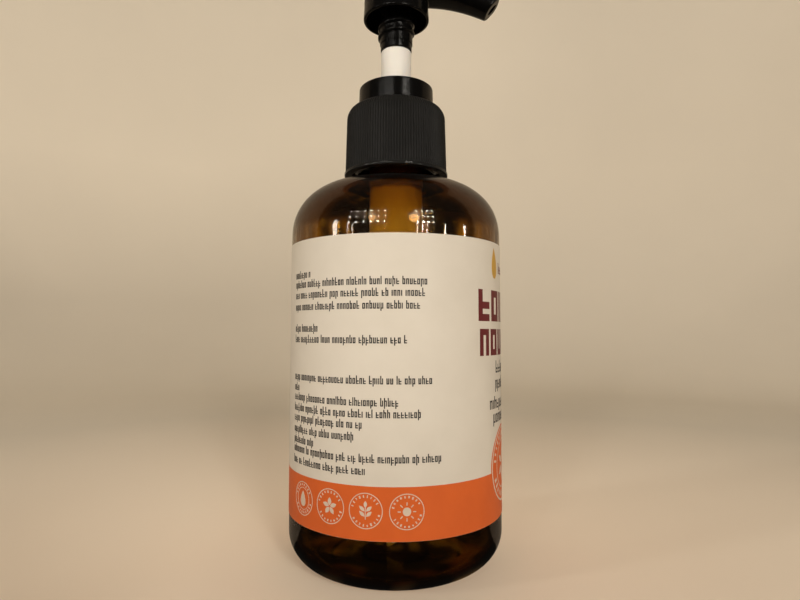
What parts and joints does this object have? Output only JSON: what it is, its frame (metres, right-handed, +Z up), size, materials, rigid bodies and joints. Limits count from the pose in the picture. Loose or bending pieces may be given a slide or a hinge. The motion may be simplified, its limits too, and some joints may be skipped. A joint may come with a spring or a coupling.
{
  "type": "pump bottle",
  "caption": "Round amber bottle with a wrap label and a screw-on lotion pump: ribbed closure, lock ring, white stem, head with a down-turned nozzle, and the pump's inner works.",
  "frame": {"origin": "centre of the bottle's base, on the bottle's axis, on the surface it stands on", "axes": "+Z up along the bottle's axis, +X the way the nozzle points"},
  "size_m": [0.0609, 0.06, 0.1712],
  "materials": {
    "amber_plastic": "clear amber PET, glossy",
    "label_paper": "cream printed film label with an orange band, satin",
    "gasket_foam": "white foamed polyethylene",
    "closure_plastic": "black ribbed polypropylene, satin",
    "head_plastic": "black polypropylene, glossy",
    "housing_plastic": "natural polypropylene, satin",
    "ball_glass": "clear glass ball",
    "spring_steel": "stainless steel wire",
    "piston_plastic": "white polyethylene",
    "stem_plastic": "white polypropylene, satin",
    "tube_plastic": "translucent natural polypropylene"
  },
  "bodies": {
    "bottle": {"bottle": "amber_plastic", "label": "label_paper"},
    "pump_unit": {"housing": "housing_plastic", "lock_ring": "head_plastic", "gasket": "gasket_foam", "ball_retainer": "housing_plastic", "dip_tube": "tube_plastic", "spring": "spring_steel"},
    "closure": {"closure": "closure_plastic"},
    "plunger": {"piston_rod": "stem_plastic"},
    "piston": {"piston": "piston_plastic"},
    "head": {"stem": "stem_plastic", "actuator": "head_plastic"},
    "inlet_ball": {"inlet_ball": "ball_glass"}
  },
  "joints": [
    {"name": "pump_lift", "type": "slide", "parent": "bottle", "child": "pump_unit", "axis": [0, 0, 1], "range_m": [0, 0.13]},
    {"name": "closure_turn", "type": "hinge", "parent": "pump_unit", "child": "closure", "pos_m": [0, 0, 0.1273], "axis": [0, 0, 1], "continuous": true},
    {"name": "pump_stroke", "type": "slide", "parent": "pump_unit", "child": "plunger", "axis": [0, 0, -1], "range_m": [0, 0.015], "stiffness_N_per_m": 700, "springref_m": -0.008, "deforming": ["spring"]},
    {"name": "piston_slip", "type": "slide", "parent": "plunger", "child": "piston", "axis": [0, 0, 1], "range_m": [0, 0.0012]},
    {"name": "head_swivel", "type": "hinge", "parent": "plunger", "child": "head", "pos_m": [0, 0, 0.1465], "axis": [0, 0, 1], "continuous": true},
    {"name": "ball_lift", "type": "slide", "parent": "pump_unit", "child": "inlet_ball", "axis": [0, 0, 1], "range_m": [0, 0.0015]}
  ]
}
